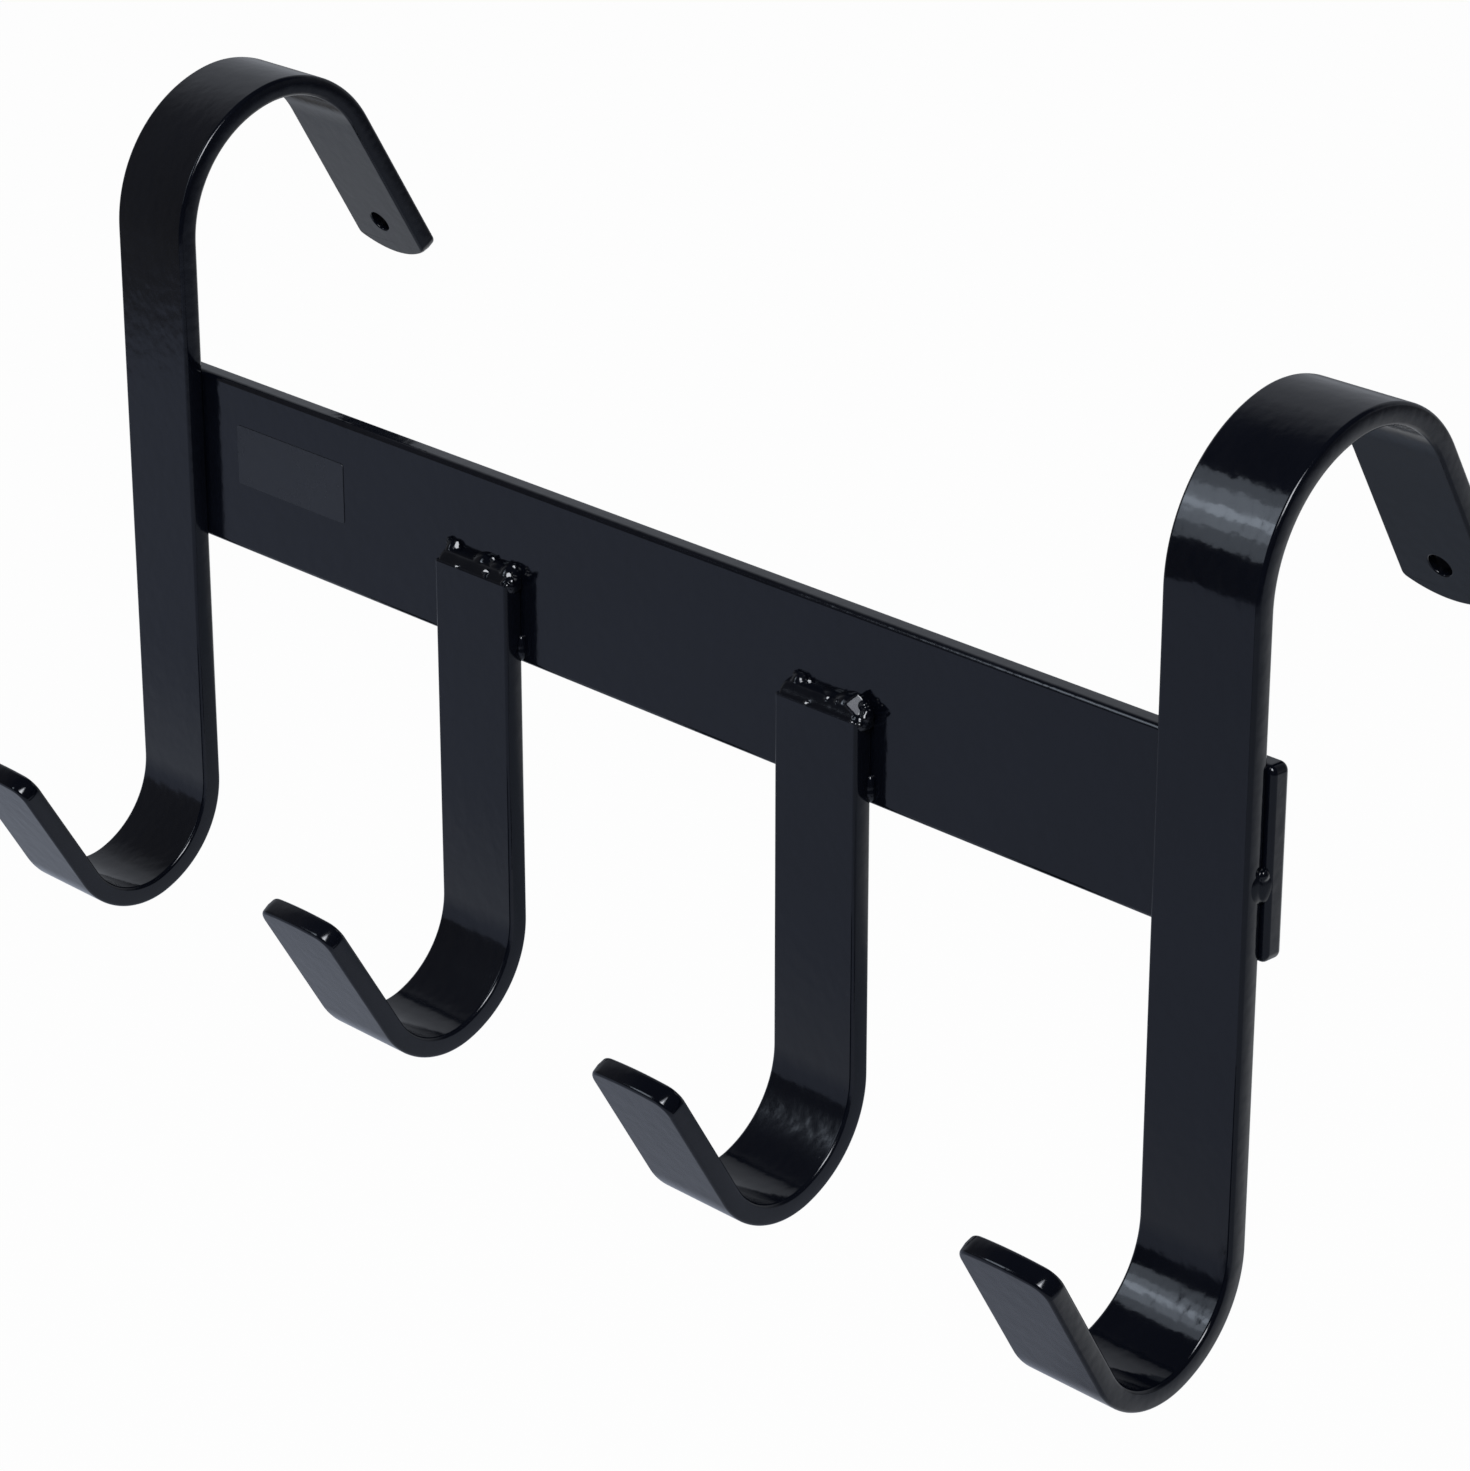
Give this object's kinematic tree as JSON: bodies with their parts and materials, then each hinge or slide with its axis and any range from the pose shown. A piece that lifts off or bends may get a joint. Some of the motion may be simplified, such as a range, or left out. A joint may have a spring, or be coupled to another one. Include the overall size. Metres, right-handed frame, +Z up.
{
  "type": "bridle rack",
  "caption": "Welded flat-bar bridle rack: a crossbar on S-shaped hangers that hook over a wall, door or rail, with short J hooks between them for bridles.",
  "frame": {"origin": "centre of the crossbar's back face, which rests against the wall", "axes": "+X along the crossbar to the right as seen from the front, +Y back towards the wall, +Z up"},
  "size_m": [0.443, 0.1654, 0.243],
  "materials": {
    "powder_coat": "gloss black powder coat",
    "weld_coat": "gloss black powder coat over a lumpy weld",
    "label_film": "satin dark film"
  },
  "bodies": {
    "root": {"crossbar": "powder_coat", "left_hanger": "powder_coat", "right_hanger": "powder_coat", "left_bridle_hook": "powder_coat", "right_bridle_hook": "powder_coat", "left_hook_top_weld": "weld_coat", "right_hook_top_weld": "weld_coat", "left_hook_left_tack": "weld_coat", "left_hook_right_tack": "weld_coat", "right_hook_left_tack": "weld_coat", "right_hook_right_tack": "weld_coat", "left_hanger_outer_weld": "weld_coat", "right_hanger_outer_weld": "weld_coat", "left_hanger_upper_weld": "weld_coat", "right_hanger_upper_weld": "weld_coat", "left_hanger_lower_weld": "weld_coat", "right_hanger_lower_weld": "weld_coat", "blank_label": "label_film"}
  },
  "joints": []
}
